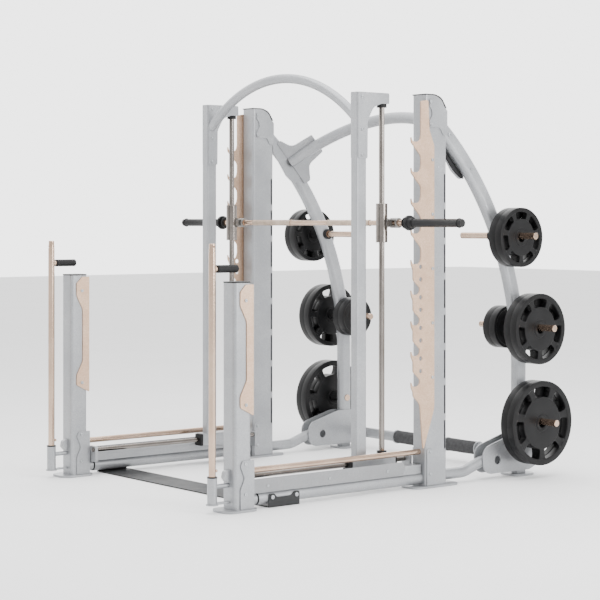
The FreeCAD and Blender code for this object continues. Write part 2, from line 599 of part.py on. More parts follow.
def rear_leg():
    """The oval leg that rises from its foot and curves forward to the upright's back face."""
    half = LEG_WIDTH / 2
    deep = LEG_DEPTH / 2

    def curve(turn):
        y = LEG_Y - LEG_BEND + LEG_BEND * math.cos(turn)
        return Vector(SIDE_X, y, LEG_STRAIGHT + LEG_BEND * math.sin(turn))

    foot = Vector(SIDE_X, LEG_Y, LEG_FOOT)
    bend = Vector(SIDE_X, LEG_Y, LEG_STRAIGHT)
    arc = Part.Arc(bend, curve(LEG_TURN / 2), curve(LEG_TURN)).toShape()
    path = Part.Wire([Part.makeLine(foot, bend), arc])
    shapes = []
    for inset in (0, 3.5):
        x = half - inset
        y = deep - inset
        corners = [(-x, -y, x - 6), (x, -y, x - 6), (x, y, x - 6), (-x, y, x - 6)]
        section = Part.Wire(rounded_edges(corners, lambda p: foot + p))
        shapes.append(path.makePipeShell([section], True, False))
    leg = shapes[0].cut(shapes[1])
    leg = leg.cut(box((0, 2 * SIDE_X), (0, UPRIGHT_BACK + APART / 10), (0, UPRIGHT_HEIGHT + 500)))
    leg = drilled_x(leg, PEG_PLACES, PEG_ROOT_RADIUS + SEAT)
    for y, z in LEG_BOLTS:
        leg = leg.cut(rod((SIDE_X, y, z), (2 * SIDE_X, y, z), 6 + SEAT))
    return leg


def arch_curve():
    """The arch's centre line, from one leg over its apex to the other."""
    end = Vector(LEG_INNER - 8, leg_y(ARCH_END_Z), ARCH_END_Z)
    other = Vector(-end.x, end.y, end.z)
    return Part.Arc(end, Vector(0, ARCH_APEX_Y, ARCH_APEX_Z), other).toShape()


def rear_arch():
    """The arched tube between the two rear legs, leaning back as it rises."""
    inside = LEG_INNER - GUSSET_PLATE
    arch = swept_tube([arch_curve()], ARCH_RADIUS, ARCH_RADIUS - 3)
    return arch.common(box((-inside, inside), (0, 2 * LEG_Y), (0, UPRIGHT_HEIGHT)))


def arch_gusset():
    """The lobed plate inside a leg, with a web that runs out along both sides of the arch's end."""
    y = leg_y(ARCH_END_Z)
    corners = [(UPRIGHT_BACK + 1, ARCH_END_Z + 125, 20), (y - 60, ARCH_END_Z + 120, 40),
               (y + 60, ARCH_END_Z + 10, 40), (y + 78, ARCH_END_Z - 84, 30),
               (y + 36, ARCH_END_Z - 135, 30), (y - 34, ARCH_END_Z - 80, 30), (y - 130, ARCH_END_Z + 60, 20)]
    plate = plate_yz(corners, (LEG_INNER - GUSSET_PLATE, LEG_INNER))
    curve = arch_curve()
    inward = curve.tangentAt(curve.FirstParameter)
    slope = (ARCH_END_Z - LEG_STRAIGHT) / LEG_BEND
    along = Vector(0, -slope, math.sqrt(1 - slope ** 2))
    across = inward.cross(along)
    across.normalize()
    origin = Vector(LEG_INNER - 8, y, ARCH_END_Z)
    outline = [(-2, -165, 4), (-2, 150, 4), (22, 150, 12), (58, 76, 50), (196, 64, 8), (196, -62, 8),
               (84, -78, 50), (36, -165, 12)]
    wire = Part.Wire(rounded_edges(outline, lambda p: origin + inward * p.x + along * p.y - across * 4))
    web = Part.Face(wire).extrude(across * 8)
    return plate.fuse(web.cut(swept_tube([curve], ARCH_RADIUS, 0)))


def clam_plate():
    """One of the two plates that join a leg's foot, the foot tube and the cross tube."""
    low = 27.0
    top = 228.0
    nose = FOOT_HOLE_Y - 108
    corners = [(nose, low, 62), (LEG_Y + 50, low, 60), (CROSS_Y + 34, 56, 30),
               (CROSS_Y + 34, CROSS_Z + 36, 30), (LEG_Y + 70, 156, 30), (LEG_Y + 50, top, 16),
               (LEG_Y - 80, top, 120), (nose, 166, 62)]
    plate = plate_yz(corners, (LEG_OUTER, LEG_OUTER + CLAM_PLATE))
    return drilled_x(plate, ((FOOT_HOLE_Y, FOOT_HOLE_Z),), FOOT_HOLE)


def foot_tube():
    """The tube from an upright's foot back to the clam plates, bent up at its end."""
    high = FOOT_HOLE_Z
    corners = [(UPRIGHT_BACK, 50, 0), (FOOT_HOLE_Y - 220, 50, 160), (FOOT_HOLE_Y - 85, high, 120),
               (FOOT_HOLE_Y - 40, high, 0)]
    path = rounded_edges(corners, lambda p: Vector(SIDE_X, p.x, p.y), closed=False)
    return swept_tube(path, FOOT_TUBE_RADIUS, FOOT_TUBE_RADIUS - 3)


def rear_foot():
    """The plate under a rear leg, with the short block that the leg stands on."""
    plate = plate_xy(around(SIDE_X - 10, 150), around(LEG_Y, 150), (0, FOOT_THICKNESS), 40)
    block = box(around(SIDE_X, LEG_WIDTH - 14), around(LEG_Y, LEG_DEPTH - 18),
                (FOOT_THICKNESS - 1, LEG_FOOT))
    return plate.fuse(block)


def cross_tube():
    """The straight tube between the two feet, with a raised ring at each end of its two grips."""
    reach = LEG_INNER - CLAM_PLATE
    tube = ring((-reach, CROSS_Y, CROSS_Z), (reach, CROSS_Y, CROSS_Z), CROSS_RADIUS, CROSS_RADIUS - 3)
    rings = []
    for side in (-1, 1):
        for start in (GRIP_NEAR - 8, GRIP_FAR):
            rings.append(ring((side * start, CROSS_Y, CROSS_Z), (side * (start + 8), CROSS_Y, CROSS_Z),
                              GRIP_RADIUS + 2, CROSS_RADIUS - 3))
    return tube.fuse(rings)


def grip():
    """A foam grip on the cross tube."""
    sleeve = rod((GRIP_NEAR, CROSS_Y, CROSS_Z), (GRIP_FAR, CROSS_Y, CROSS_Z), GRIP_RADIUS)
    sleeve = sleeve.makeFillet(6, [edge for edge in sleeve.Edges if edge.BoundBox.XLength < 0.1])
    return sleeve.cut(rod((0, CROSS_Y, CROSS_Z), (GRIP_FAR + 9, CROSS_Y, CROSS_Z), CROSS_RADIUS))


# ---- Storage pegs and weight plates ----
def peg(index):
    """A storage peg through the leg. The lowest one stops at the leg's inner face."""
    y, z = PEG_PLACES[index]
    inner = LEG_INNER - 6 if index == 2 else PEG_INNER
    pin = rod((inner, y, z), (PEG_OUTER, y, z), PEG_RADIUS)
    rims = [edge for edge in pin.Edges if edge.BoundBox.XLength < 0.1]
    low = inner if index == 2 else INNER_STACK + APART
    root = rod((low, y, z), (OUTER_STACK - APART, y, z), PEG_ROOT_RADIUS)
    return pin.makeChamfer(2.5, rims).fuse(root)


def peg_collars(index):
    """The rubber collars that stand weight plates off the leg."""
    y, z = PEG_PLACES[index]
    spans = [(LEG_OUTER, OUTER_STACK - APART)]
    if index < 2:
        spans.append((INNER_STACK + APART, LEG_INNER))
    bore = PEG_ROOT_RADIUS + SEAT
    return [ring((low, y, z), (high, y, z), COLLAR_RADIUS, bore) for low, high in spans]


def weight_plate(radius, x, y, z):
    """A rubber weight plate with a rounded rim, a sunk ring with seven grip slots and a raised hub."""
    half = PLATE_THICKNESS / 2
    hub = 44.0
    sink = 8.0
    rim = 0.885 * radius
    disc = 0.61 * radius
    one_face = [(PLATE_BORE, -half, 0), (hub, -half, 3), (hub + 5, -half + sink - 2, 4),
                (disc - 4, -half + sink - 2, 3), (disc, -half + sink + 4, 3), (rim - 5, -half + sink + 4, 4),
                (rim, -half, 4), (radius, -half, 9)]
    profile = one_face + [(r, -side, fillet) for r, side, fillet in reversed(one_face)]
    middle = x + half
    wire = Part.Wire(rounded_edges(profile, lambda p: Vector(middle + p.y, y, z + p.x)))
    plate = Part.Face(wire).revolve(Vector(middle, y, z), Vector(1, 0, 0), 360)
    plate = Part.makeSolid(plate) if plate.ShapeType != "Solid" else plate
    for step in range(7):
        plate = plate.cut(grip_slot(disc + 3, rim - 6, x, y, z, 360 * step / 7))
    return plate


def grip_slot(inner, outer, x, y, z, turn):
    """One curved grip slot through a weight plate, as a cutter."""
    spread = math.radians(17)
    edges = []
    for radius, step in ((inner, 1), (outer, -1)):
        points = [Vector(0, radius * math.sin(step * angle), radius * math.cos(step * angle))
                  for angle in (-spread, 0, spread)]
        edges.append(points)
    wire = Part.Wire([Part.Arc(*edges[0]).toShape(), Part.makeLine(edges[0][2], edges[1][0]),
                      Part.Arc(*edges[1]).toShape(), Part.makeLine(edges[1][2], edges[0][0])])
    slot = Part.Face(wire).extrude(Vector(PLATE_THICKNESS + 4, 0, 0))
    slot = slot.makeFillet(0.42 * (outer - inner), [edge for edge in slot.Edges
                                                   if edge.BoundBox.XLength > PLATE_THICKNESS])
    slot.rotate(Vector(0, 0, 0), Vector(1, 0, 0), turn)
    slot.translate(Vector(x - 2, y, z))
    return slot


def stack(radius, start, index, outward=1):
    """Two weight plates that hang side by side on a peg, away from the leg."""
    y, z = PEG_PLACES[index]
    hang = z - (PLATE_BORE - PEG_RADIUS) + APART
    pitch = PLATE_THICKNESS + PLATE_GAP
    first = start if outward > 0 else start - PLATE_THICKNESS
    return [weight_plate(radius, first + outward * pitch * count, y, hang) for count in range(2)]


# ---- Gantry ----
GANTRY_IN = GANTRY_X - GANTRY_POST[0] / 2
GANTRY_OUT = GANTRY_X + GANTRY_POST[0] / 2
GANTRY_BOLTS = ((GANTRY_Y, GANTRY_HEIGHT - 24), (GANTRY_Y, GANTRY_HEIGHT - 188),
                (GANTRY_Y, BRACKET_LOW + 20))
FOOT_FRONT = GANTRY_Y - FOOT_OVERHANG
FOOT_BACK = ROD_Y + FOOT_OVERHANG
BEARING_LENGTH = 45.0


def gantry_post():
    """A slim rectangular tube that stands on the gantry's foot."""
    post = square_tube((GANTRY_IN, GANTRY_OUT), around(GANTRY_Y, GANTRY_POST[1]),
                       (FOOT_HIGH, GANTRY_HEIGHT), 8, GANTRY_WALL)
    lid = plate_xy((GANTRY_IN + GANTRY_WALL, GANTRY_OUT - GANTRY_WALL),
                   around(GANTRY_Y, GANTRY_POST[1] - 2 * GANTRY_WALL),
                   (GANTRY_HEIGHT - 3, GANTRY_HEIGHT), 5)
    return drilled_x(post, GANTRY_BOLTS, 5 + SEAT).fuse(lid)


def gantry_arch():
    """The arched tube between the tops of the two gantry posts."""
    end = Vector(GANTRY_IN + 6, GANTRY_Y, GANTRY_ARCH_TOP - GANTRY_ARCH_RISE)
    path = [Part.Arc(end, Vector(0, GANTRY_Y, GANTRY_ARCH_TOP), Vector(-end.x, end.y, end.z)).toShape()]
    arch = swept_tube(path, GANTRY_ARCH_RADIUS, GANTRY_ARCH_RADIUS - 2.5)
    end_x = GANTRY_IN - BRACKET_PLATE
    return arch.common(box((-end_x, end_x), (0, 2 * LEG_Y), (0, 2 * GANTRY_HEIGHT)))


def gantry_bracket():
    """Two plates on a post's sides that reach back to a block on the upright rod's top."""
    top = GANTRY_HEIGHT
    front = GANTRY_Y - GANTRY_POST[1] / 2 + 6
    post_back = GANTRY_Y + GANTRY_POST[1] / 2
    back = ROD_Y + 26
    corners = [(front, top, 4), (back, top, 10), (back, ROD_TOP, 6), (ROD_Y - 24, ROD_TOP, 10),
               (post_back + 44, ROD_TOP - 18, 60), (post_back + 4, ROD_TOP - 90, 50),
               (post_back + 2, BRACKET_LOW, 10),
               (front, BRACKET_LOW, 10)]
    plate = drilled_x(plate_yz(corners, (GANTRY_OUT, GANTRY_OUT + BRACKET_PLATE)), GANTRY_BOLTS, 5 + SEAT)
    inner = plate.mirror(Vector(GANTRY_X, 0, 0), Vector(1, 0, 0))
    block = box((GANTRY_IN, GANTRY_OUT), (ROD_Y - 24, back), (ROD_TOP, top))
    bore = rod((GANTRY_X, ROD_Y, ROD_TOP - 1), (GANTRY_X, ROD_Y, top - 12), ROD_RADIUS + SEAT)
    return block.fuse([plate, inner]).cut(bore)


def gantry_rod():
    """The upright steel rod that the barbell's carriage slides on."""
    return rod((GANTRY_X, ROD_Y, FOOT_HIGH - 10), (GANTRY_X, ROD_Y, GANTRY_HEIGHT - 14), ROD_RADIUS)


def bumpers():
    """The black rubber bumpers at the rod's foot and top."""
    spans = ((FOOT_HIGH, FOOT_HIGH + BUMPER), (ROD_TOP - BUMPER, ROD_TOP))
    return [ring((GANTRY_X, ROD_Y, low), (GANTRY_X, ROD_Y, high), ROD_RADIUS + 11, ROD_RADIUS + SEAT)
            for low, high in spans]


def gantry_foot():
    """The bearing housing under a gantry post, bored for the guide rod and two bearings."""
    foot = box(around(GANTRY_X, FOOT_WIDTH), (FOOT_FRONT, FOOT_BACK), (FOOT_LOW, FOOT_HIGH))
    long_edges = [edge for edge in foot.Edges if edge.BoundBox.YLength > 100]
    foot = foot.makeFillet(9, long_edges)
    ends = (FOOT_FRONT - 1, FOOT_BACK + 1)
    foot = foot.cut(rod((GANTRY_X, ends[0], GUIDE_Z), (GANTRY_X, ends[1], GUIDE_Z), BEARING_RADIUS))
    seat = rod((GANTRY_X, ROD_Y, FOOT_HIGH - 10), (GANTRY_X, ROD_Y, FOOT_HIGH + 1), ROD_RADIUS + SEAT)
    return foot.cut(seat)


def guide_bearings():
    """The two linear bearings in a foot."""
    spans = ((FOOT_FRONT, FOOT_FRONT + BEARING_LENGTH), (FOOT_BACK - BEARING_LENGTH, FOOT_BACK))
    return [ring((GANTRY_X, low, GUIDE_Z), (GANTRY_X, high, GUIDE_Z), BEARING_RADIUS - RUNNING,
                 GUIDE_RADIUS + RUNNING) for low, high in spans]


def guide_seals():
    """The black wiper plates on a foot's two ends."""
    seals = []
    for low, high in ((FOOT_FRONT - SEAL_THICKNESS, FOOT_FRONT), (FOOT_BACK, FOOT_BACK + SEAL_THICKNESS)):
        corners = around(GANTRY_X, FOOT_WIDTH - 4) + (FOOT_LOW + 2, FOOT_HIGH - 2)
        outline = [(corners[0], corners[2], 8), (corners[1], corners[2], 8),
                   (corners[1], corners[3], 8), (corners[0], corners[3], 8)]
        wire = Part.Wire(rounded_edges(outline, lambda p: Vector(p.x, low, p.y)))
        plate = Part.Face(wire).extrude(Vector(0, high - low, 0))
        bore = rod((GANTRY_X, low - 1, GUIDE_Z), (GANTRY_X, high + 1, GUIDE_Z), GUIDE_RADIUS + APART)
        seals.append(plate.cut(bore))
    return seals


# ---- Carriages and barbell ----
CARRIAGE_BORE = ROD_RADIUS + 7.5
SADDLE_SPANS = ((GANTRY_X - 58, GANTRY_X - 16), (GANTRY_X + 16, GANTRY_X + 80))
SPOOL_START = CATCH_X - 12
GROOVE_START = CATCH_X - 4
GROOVE_END = CATCH_X + CATCH_THICKNESS + 4
SLEEVE_START = GROOVE_END + 36


def carriage():
    """The polished cylinder that slides on an upright rod."""
    low = (GANTRY_X, ROD_Y, BAR_Z - CARRIAGE_HEIGHT / 2)
    high = (GANTRY_X, ROD_Y, BAR_Z + CARRIAGE_HEIGHT / 2)
    body = rod(low, high, CARRIAGE_RADIUS)
    body = body.makeChamfer(1.5, [edge for edge in body.Edges if edge.BoundBox.ZLength < 0.1])
    return body.cut(rod((low[0], low[1], low[2] - 1), (high[0], high[1], high[2] + 1), CARRIAGE_BORE))


def carriage_bearings():
    """The two bushes inside a carriage."""
    bushes = []
    for side in (-1, 1):
        outer = BAR_Z + side * (CARRIAGE_HEIGHT / 2 - 2)
        inner = outer - side * 60
        bushes.append(ring((GANTRY_X, ROD_Y, min(inner, outer)), (GANTRY_X, ROD_Y, max(inner, outer)),
                           CARRIAGE_BORE - RUNNING, ROD_RADIUS + RUNNING))
    return bushes


def saddles():
    """The black housings that hold the barbell behind a carriage, coped to its cylinder."""
    cylinder = rod((GANTRY_X, ROD_Y, 0), (GANTRY_X, ROD_Y, UPRIGHT_HEIGHT), CARRIAGE_RADIUS)
    shapes = []
    for low, high in SADDLE_SPANS:
        body = rod((low, BAR_Y, BAR_Z), (high, BAR_Y, BAR_Z), SADDLE_RADIUS)
        body = body.makeFillet(4, [edge for edge in body.Edges if edge.BoundBox.XLength < 0.1])
        arm = box((max(low, GANTRY_X - 42), min(high, GANTRY_X + 42)), (ROD_Y, BAR_Y), around(BAR_Z, 34))
        body = body.fuse(arm).cut(cylinder)
        body = body.cut(rod((low - 1, BAR_Y, BAR_Z), (high + 1, BAR_Y, BAR_Z), BARREL_RADIUS + RUNNING))
        if high > GANTRY_X + 50:
            body = body.cut(box((GANTRY_X + 48, high - 8), (BAR_Y - 40, BAR_Y), around(BAR_Z, 22)))
        shapes.append(body)
    return shapes


def bar():
    """The barbell's shaft, thicker between its carriages and its spools, from end to end."""
    shaft = rod((-BAR_END + 30, BAR_Y, BAR_Z), (BAR_END - 30, BAR_Y, BAR_Z), BAR_RADIUS)
    barrels = []
    for side in (-1, 1):
        barrels.append(rod((side * BARREL_START, BAR_Y, BAR_Z), (side * SPOOL_START, BAR_Y, BAR_Z),
                           BARREL_RADIUS))
    return shaft.fuse(barrels)


def spool():
    """The grooved black spool that hooks into a catch plate."""
    parts = [rod((SPOOL_START, BAR_Y, BAR_Z), (GROOVE_START, BAR_Y, BAR_Z), 30),
             rod((GROOVE_START - 1, BAR_Y, BAR_Z), (GROOVE_END + 1, BAR_Y, BAR_Z), GROOVE_RADIUS),
             rod((GROOVE_END, BAR_Y, BAR_Z), (GROOVE_END + 16, BAR_Y, BAR_Z), 39)]
    for index in (0, 2):
        parts[index] = parts[index].makeFillet(3, [edge for edge in parts[index].Edges
                                                   if edge.BoundBox.XLength < 0.1])
    hub = Part.makeCone(29, SLEEVE_RADIUS + 1, SLEEVE_START - GROOVE_END - 16,
                        Vector(GROOVE_END + 16, BAR_Y, BAR_Z), Vector(1, 0, 0))
    body = parts[0].fuse(parts[1:] + [hub])
    return body.cut(rod((0, BAR_Y, BAR_Z), (BAR_END, BAR_Y, BAR_Z), BAR_RADIUS + RUNNING))


def sleeve():
    """The black plate sleeve on a barbell's end, with a rounded tip."""
    body = rod((SLEEVE_START, BAR_Y, BAR_Z), (BAR_END, BAR_Y, BAR_Z), SLEEVE_RADIUS)
    body = body.makeFillet(14, [edge for edge in body.Edges if edge.BoundBox.XMin > BAR_END - 0.1])
    return body.cut(rod((0, BAR_Y, BAR_Z), (BAR_END - 30 + RUNNING, BAR_Y, BAR_Z), BAR_RADIUS + RUNNING))


# ---- Bolts ----
def frame_bolts():
    """Every bolt of one side frame."""
    bolts = []
    outer = (1, 0, 0)
    for y, z in WEAR_BOLTS + BOOT_BOLTS:
        face = button_bolt((POST_OUTER + SIDE_PLATE, y, z), outer, SIDE_PLATE + POST_WALL)
        bolts.extend(both_faces(face))
    for y in COVER_SCREWS:
        x = SIDE_X + CHANNEL_OUTER + COVER_THICKNESS
        bolts.append(button_bolt((x, y, COVER_SCREW_Z), outer, COVER_THICKNESS + 4, 4))
    for y, z in FLOOR_BOLTS:
        x = SIDE_X + RAIL_RADIUS + APART + FLOOR_PLATE_THICKNESS
        bolts.append(button_bolt((x, y, z), outer, FLOOR_PLATE_THICKNESS - 1, 6))
    for y, z in CATCH_BOLTS:
        bolts.append(button_bolt((CATCH_X + CATCH_THICKNESS, y, z), outer, CATCH_THICKNESS + UPRIGHT_WALL))
    for y, z in KNEE_BOLTS + UPRIGHT_BOOT_BOLTS:
        bolts.extend(both_faces(button_bolt((CATCH_X + SIDE_PLATE, y, z), outer, SIDE_PLATE + UPRIGHT_WALL)))
    for y, z in LEG_BOLTS:
        bolts.append(button_bolt((LEG_OUTER, y, z), outer, 3, 6))
    return bolts


def gantry_bolts():
    """The bolts through a gantry bracket's plates."""
    bolts = []
    for y, z in GANTRY_BOLTS:
        bolt = button_bolt((GANTRY_OUT + BRACKET_PLATE, y, z), (1, 0, 0), BRACKET_PLATE + GANTRY_WALL)
        bolts.extend([bolt, bolt.mirror(Vector(GANTRY_X, 0, 0), Vector(1, 0, 0))])
    return bolts


# ---- Assembly ----
def group(shapes):
    """Separate solids kept together as one node."""
    return shapes[0] if len(shapes) == 1 else Part.makeCompound(shapes)


def as_list(shapes):
    """A list of shapes, whether one or several were made."""
    return shapes if isinstance(shapes, list) else [shapes]


nodes = {}


def add_pair(name, shapes):
    """Two nodes, NAME_left and NAME_right, from the shapes of the +X side."""
    shapes = as_list(shapes)
    nodes[name + "_right"] = group(shapes)
    nodes[name + "_left"] = group([mirrored(shape) for shape in shapes])


def add_both(name, shapes):
    """One node that holds the shapes of the +X side and their mirror images."""
    shapes = as_list(shapes)
    nodes[name] = group(shapes + [mirrored(shape) for shape in shapes])


add_pair("front_post", front_post())
add_both("post_caps", [post_cap(), upright_cap()])
add_both("wear_plates", both_faces(wear_plate()))
add_both("boot_plates", both_faces(boot_plate()) + both_faces(upright_boot()))
add_both("pole_sockets", pole_socket())
add_both("pole_bushings", pole_bushing())
add_pair("lock_pole", pole())
add_pair("pole_handle", pole_handle())
add_both("base_rails", base_rail())
add_both("rail_seals", rail_seal())
add_both("rail_covers", rail_cover())
add_both("guide_blocks", guide_block())
add_both("guide_rods", guide_rod())
add_both("side_rods", side_rod())
nodes["floor_plate"] = floor_plate()
add_pair("upright", upright())
add_pair("catch_plate", catch_plate())
add_both("knee_plates", both_faces(knee_plate()))
add_pair("rear_leg", rear_leg())
nodes["rear_arch"] = rear_arch()
add_both("arch_gussets", arch_gusset())
add_pair("clam_plates", both_faces(clam_plate()))
add_both("foot_tubes", foot_tube())
add_both("rear_feet", rear_foot())
nodes["cross_tube"] = cross_tube()
add_both("cross_grips", grip())
add_both("storage_pegs", [peg(index) for index in range(3)])
add_both("peg_collars", [collar for index in range(3) for collar in peg_collars(index)])
for index, level in enumerate(("upper", "middle", "lower")):
    add_pair("plates_" + level, stack(PLATE_RADII[index], OUTER_STACK, index))
add_pair("plates_inner", stack(SMALL_PLATE_RADIUS, INNER_STACK, 1, outward=-1))
add_both("frame_bolts", frame_bolts())

add_pair("gantry_post", gantry_post())
nodes["gantry_arch"] = gantry_arch()
add_both("gantry_brackets", gantry_bracket())
add_both("gantry_rods", gantry_rod())
add_both("rod_bumpers", bumpers())
add_both("gantry_feet", gantry_foot())
add_both("guide_bearings", guide_bearings())
add_both("guide_seals", guide_seals())
add_both("gantry_bolts", gantry_bolts())

add_both("carriages", carriage())
add_both("carriage_bearings", carriage_bearings())
add_both("bar_saddles", saddles())
nodes["bar"] = bar()
add_both("bar_spools", spool())
add_both("bar_sleeves", sleeve())

whole = Part.makeCompound(list(nodes.values())).optimalBoundingBox(False)
move = Vector(-(whole.XMin + whole.XMax) / 2, -(whole.YMin + whole.YMax) / 2, -whole.ZMin)
os.makedirs("parts", exist_ok=True)
for name, shape in nodes.items():
    shape.translate(move)
    shape.exportStep("parts/" + name + ".step")
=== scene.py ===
import json
import math

import bmesh
import bpy
from mathutils import Matrix, Vector


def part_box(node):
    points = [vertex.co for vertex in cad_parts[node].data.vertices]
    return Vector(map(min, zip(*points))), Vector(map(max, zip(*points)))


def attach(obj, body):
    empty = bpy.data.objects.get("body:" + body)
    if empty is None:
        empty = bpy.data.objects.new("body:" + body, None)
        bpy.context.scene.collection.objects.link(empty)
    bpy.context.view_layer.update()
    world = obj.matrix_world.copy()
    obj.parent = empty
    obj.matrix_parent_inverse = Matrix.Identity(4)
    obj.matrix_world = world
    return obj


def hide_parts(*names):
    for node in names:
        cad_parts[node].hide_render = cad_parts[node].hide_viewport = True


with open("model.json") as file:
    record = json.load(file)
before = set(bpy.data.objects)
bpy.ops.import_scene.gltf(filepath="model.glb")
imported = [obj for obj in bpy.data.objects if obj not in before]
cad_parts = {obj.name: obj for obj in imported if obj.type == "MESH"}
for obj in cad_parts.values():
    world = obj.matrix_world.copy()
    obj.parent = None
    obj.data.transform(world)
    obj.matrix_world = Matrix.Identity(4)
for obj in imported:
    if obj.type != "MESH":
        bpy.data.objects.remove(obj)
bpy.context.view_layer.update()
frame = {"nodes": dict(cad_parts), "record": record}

# A dual-action smith machine. Lengths are in metres, X across, +Y to the back, +Z up.
SIDES = (("right", 1), ("left", -1))
MM = 0.001
QUARTER = math.pi / 2


# ---- Materials ----
def colour(code):
    """An sRGB hex colour as linear red, green, blue and alpha."""
    parts = [int(code[at:at + 2], 16) / 255 for at in (0, 2, 4)]
    return [part / 12.92 if part <= 0.04045 else ((part + 0.055) / 1.055) ** 2.4 for part in parts] + [1.0]


def add_node(tree, kind, settings=None, links=None, **options):
    """Adds a node with its options, socket settings and links from other nodes' outputs."""
    node = tree.nodes.new("ShaderNode" + kind)
    for name, value in options.items():
        setattr(node, name, value)
    for socket, value in (settings or {}).items():
        node.inputs[socket].default_value = value
    for socket, source in (links or {}).items():
        tree.links.new(source, node.inputs[socket])
    return node


def make_finish(name, dark, light, metallic, rough, mottle=60, grain=2, height=0.05, stretch=(1, 1, 1),
                fleck=0, level=0.5):
    """A surface whose colour and roughness drift over `mottle` mm, with a relief `grain` mm wide and
    `height` mm high. `stretch` lengthens the grain along X, Y and Z. Spots of `fleck` mm vary the colour."""
    material = bpy.data.materials.new(name)
    material.use_nodes = True
    tree = material.node_tree
    shader = tree.nodes["Principled BSDF"]
    place = add_node(tree, "TexCoord").outputs["Object"]
    cloud = add_node(tree, "TexNoise", {"Scale": 1000 / mottle, "Detail": 4.0, "Roughness": 0.6},
                     {"Vector": place})
    drift = cloud.outputs["Fac"]
    if fleck:
        spots = add_node(tree, "TexVoronoi", {"Scale": 1000 / fleck}, {"Vector": place})
        bright = add_node(tree, "MapRange", {"To Min": 0.15, "To Max": 0.85},
                          {"Value": spots.outputs["Color"]})
        mixed = add_node(tree, "Math", {2: 0.12}, {0: cloud.outputs["Fac"], 1: bright.outputs["Result"]},
                         operation="MULTIPLY_ADD")
        drift = mixed.outputs["Value"]
    ramp = add_node(tree, "ValToRGB", links={"Fac": drift})
    ramp.color_ramp.elements[0].position = 0.25
    ramp.color_ramp.elements[1].position = 0.75
    ramp.color_ramp.elements[0].color = colour(dark)
    ramp.color_ramp.elements[1].color = colour(light)
    sheen = add_node(tree, "MapRange",
                     {"From Min": 0.25, "From Max": 0.75, "To Min": rough[0], "To Max": rough[1]},
                     {"Value": cloud.outputs["Fac"]})
    mapping = add_node(tree, "Mapping", {"Scale": [1 / value for value in stretch]}, {"Vector": place})
    relief = add_node(tree, "TexNoise", {"Scale": 1000 / grain, "Detail": 3.0, "Roughness": 0.55},
                      {"Vector": mapping.outputs["Vector"]})
    bump = add_node(tree, "Bump", {"Distance": height * MM}, {"Height": relief.outputs["Fac"]})
    shader.inputs["Metallic"].default_value = metallic
    shader.inputs["Specular IOR Level"].default_value = level
    for socket, source in (("Base Color", ramp.outputs["Color"]), ("Roughness", sheen.outputs["Result"]),
                           ("Normal", bump.outputs["Normal"])):
        tree.links.new(source, shader.inputs[socket])
    return material


# Sprayed and baked silver powder coat: fine metal flakes in a satin clear binder, with a faint orange peel.
# The flakes are 0.05 mm wide in the real coat and are drawn 3 mm wide so that they show.
silver_coat = make_finish("silver_powder_coat", "95979A", "B4B5B7", 0.5, (0.32, 0.42), mottle=180, grain=3,
                          fleck=3)
# The same silver coat painted darker, as painted shade and painted dark reflection, on the covers.
shaded_silver_coat = make_finish("silver_coat_painted_shade", "87888A", "9C9D9E", 0.3, (0.4, 0.5), mottle=150, grain=3,
                        fleck=3)
# Black semi-gloss powder coat with a fine texture.
black_coat = make_finish("black_powder_coat", "1E1F20", "2C2D2E", 0.0, (0.42, 0.55), mottle=90, grain=2,
                         height=0.12, level=0.3)
# Laser-cut plate, nickel plated and bead blasted: a warm, dull sheen with a fine mottle.
catch_plating = make_finish("blasted_nickel_plate", "BF9F86", "DBC0A8", 0.7, (0.4, 0.52), mottle=70,
                            grain=2.5, height=0.06, fleck=4)
# Polished nickel-plated tube and bar with a warm tint, its polishing lines running round the shaft.
WARM = dict(dark="B59A86", light="CFB6A2", metallic=0.95, rough=(0.16, 0.24), mottle=150, grain=1.6,
            height=0.008)
warm_x = make_finish("polished_nickel_bar_across", stretch=(1, 14, 14), **WARM)
warm_y = make_finish("polished_nickel_bar_lengthways", stretch=(14, 1, 14), **WARM)
warm_z = make_finish("polished_nickel_bar_upright", stretch=(14, 14, 1), **WARM)
# Ground and hard-chromed linear shaft: darker than the plating, nearly a mirror.
CHROME = dict(dark="736D68", light="938D88", metallic=1.0, rough=(0.14, 0.22), mottle=150, grain=1.2,
              height=0.01)
chrome_y = make_finish("ground_chrome_shaft_lengthways", stretch=(16, 1, 16), **CHROME)
chrome_z = make_finish("ground_chrome_shaft_upright", stretch=(16, 16, 1), **CHROME)
# Zinc-plated button-head screws: bright, a little blue, slightly uneven.
bolt_zinc = make_finish("zinc_plated_screw", "9FA3A6", "C8CACC", 0.95, (0.25, 0.38), mottle=8, grain=0.8,
                        height=0.02)
# Turned bearing steel, dull with fine lathe lines.
bearing_turned = make_finish("turned_bearing_steel", "6E6C6A", "8F8D8A", 0.95, (0.3, 0.42), mottle=20,
                             grain=0.8, height=0.03)
# Rubber-coated cast iron plates: dark grey, moulded smooth, with a soft shine on rounded rims.
plate_rubber = make_finish("moulded_plate_rubber", "0B0B0C", "131314", 0.0, (0.34, 0.46), mottle=70,
                           grain=1.6, height=0.08, level=0.2)
# Matt moulded rubber of handles, seals, collars and bumpers.
handle_rubber = make_finish("matt_handle_rubber", "101011", "1A1A1B", 0.0, (0.55, 0.7), mottle=30, grain=1.2,
                            height=0.15, level=0.3)
# Closed-cell nitrile foam: very matt, with open pores on the cut skin. The pores are drawn 2.5 mm wide.
grip_foam = make_finish("nitrile_foam", "343435", "4A4A4B", 0.0, (0.85, 0.95), mottle=18, grain=2.5,
                        height=0.5, level=0.25)
# Injection-moulded black nylon with a light spark-eroded grain.
nylon = make_finish("moulded_black_nylon", "101011", "1B1B1C", 0.0, (0.42, 0.55), mottle=25, grain=1.0,
                    height=0.06, level=0.3)


WAVE_LENGTH = 0.314          # a wave texture repeats after this much of its vector, at a scale of 1
KNURL_DRAWN = 3 * MM


